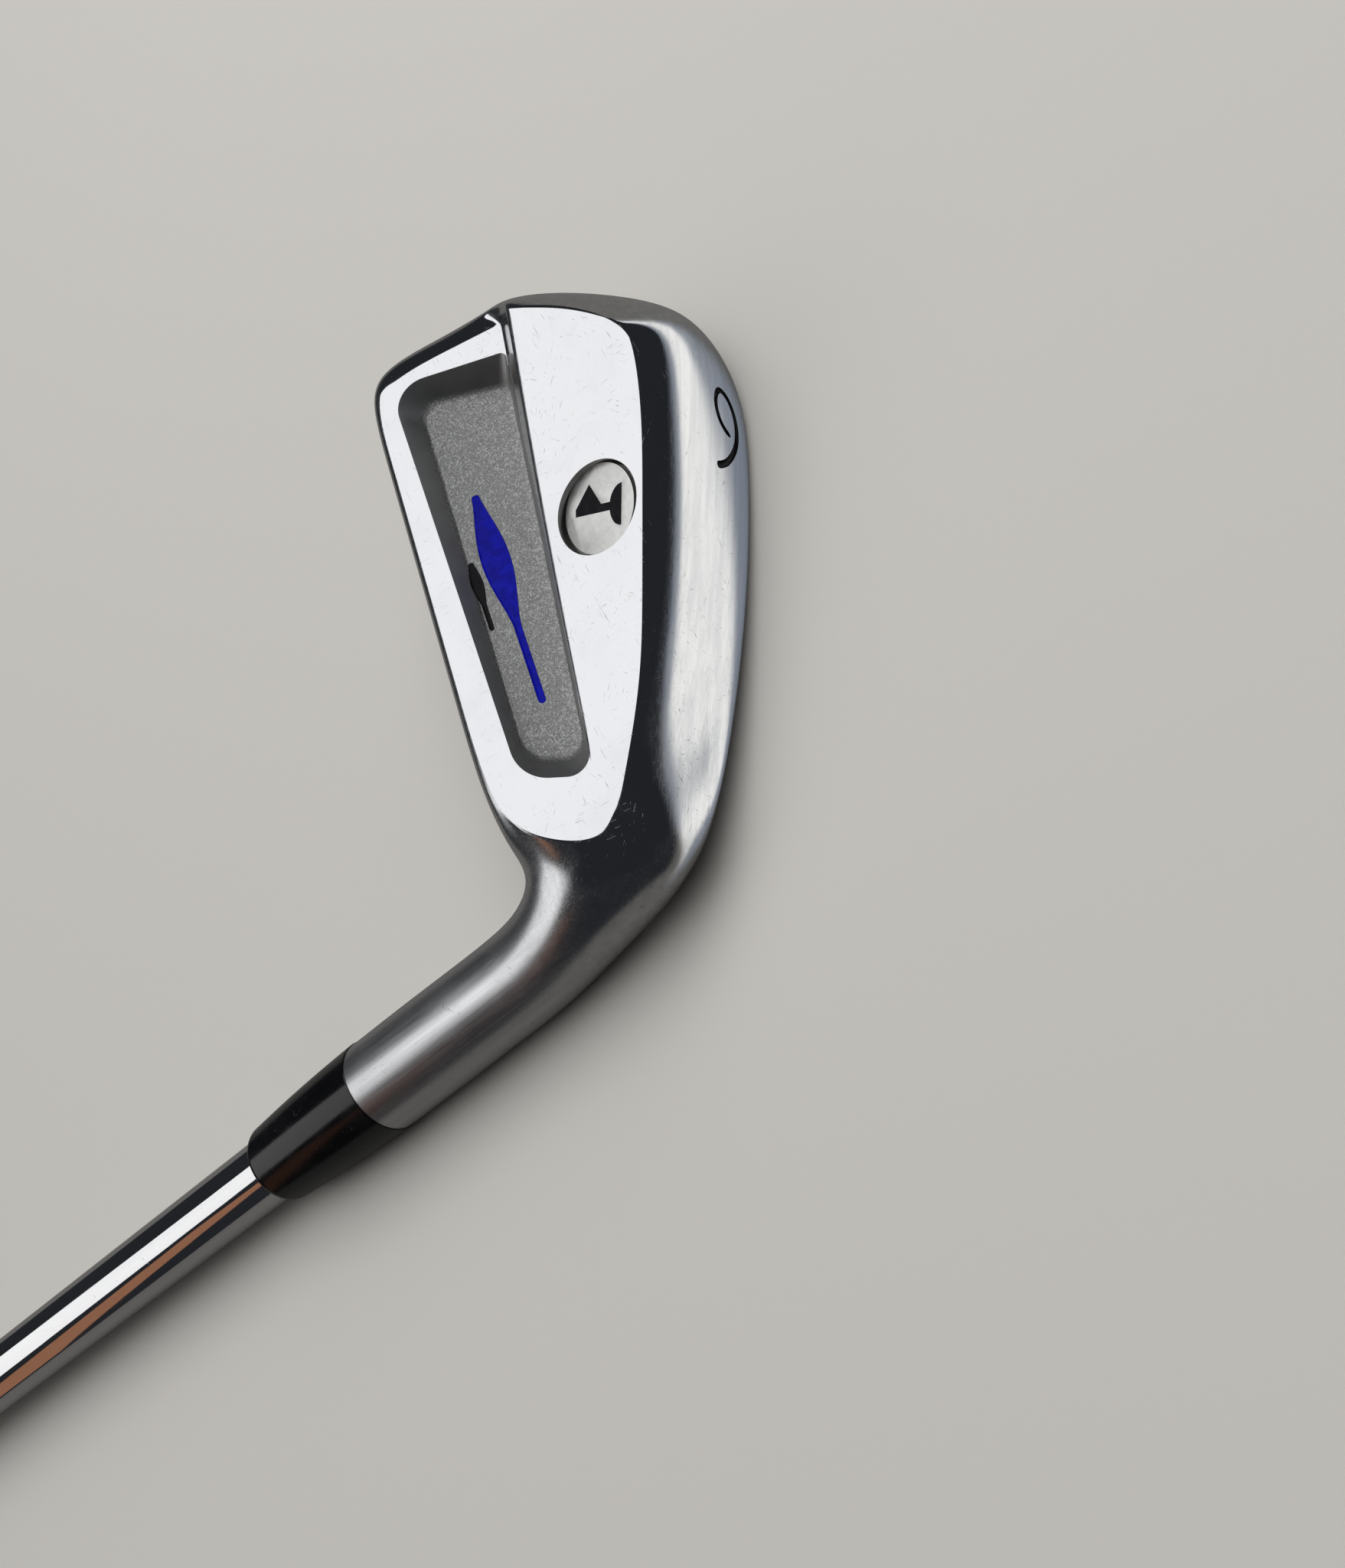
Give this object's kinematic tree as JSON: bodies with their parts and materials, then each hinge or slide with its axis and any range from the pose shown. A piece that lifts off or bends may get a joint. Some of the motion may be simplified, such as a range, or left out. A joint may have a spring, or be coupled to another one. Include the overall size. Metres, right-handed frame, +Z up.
{
  "type": "iron golf club",
  "caption": "Forged cavity-back iron golf club, right-handed, with stepped steel shaft, black ferrule, back badge, enamelled pocket and rubber grip.",
  "frame": {"origin": "middle of the club's bounding box, at the level of the ground that it lies on", "axes": "+X along the shaft from the head towards the grip, +Z up from the ground with the back of the head up, +Y completes a right-handed frame, so the toe points to -Y"},
  "size_m": [0.979, 0.09, 0.0305],
  "materials": {
    "forged_steel": "nickel-chrome plated carbon steel, polished with a fine satin brushing from heel to toe and light bag scratches",
    "badge_nickel": "satin nickel badge with a dark filled mark",
    "glue": "adhesive film",
    "blue_enamel": "glossy deep blue paint fill",
    "black_enamel": "glossy black paint fill",
    "ferrule_black": "glossy black moulded cellulose plastic",
    "chrome": "bright chrome plating over a steel tube",
    "epoxy": "cured shaft epoxy",
    "brass": "turned brass",
    "label": "silver foil label",
    "tape": "double-sided masking tape",
    "grip_rubber": "matte moulded rubber",
    "cap_grey": "matte grey insert"
  },
  "bodies": {
    "root": {"head": "forged_steel", "badge": "badge_nickel", "badge_glue": "glue", "cavity_stripe": "blue_enamel", "cavity_mark": "black_enamel", "ferrule": "ferrule_black", "shaft": "chrome", "hosel_epoxy": "epoxy", "tip_weight": "brass", "shaft_label": "label", "grip_tape": "tape", "grip": "grip_rubber", "grip_cap": "cap_grey"}
  },
  "joints": []
}
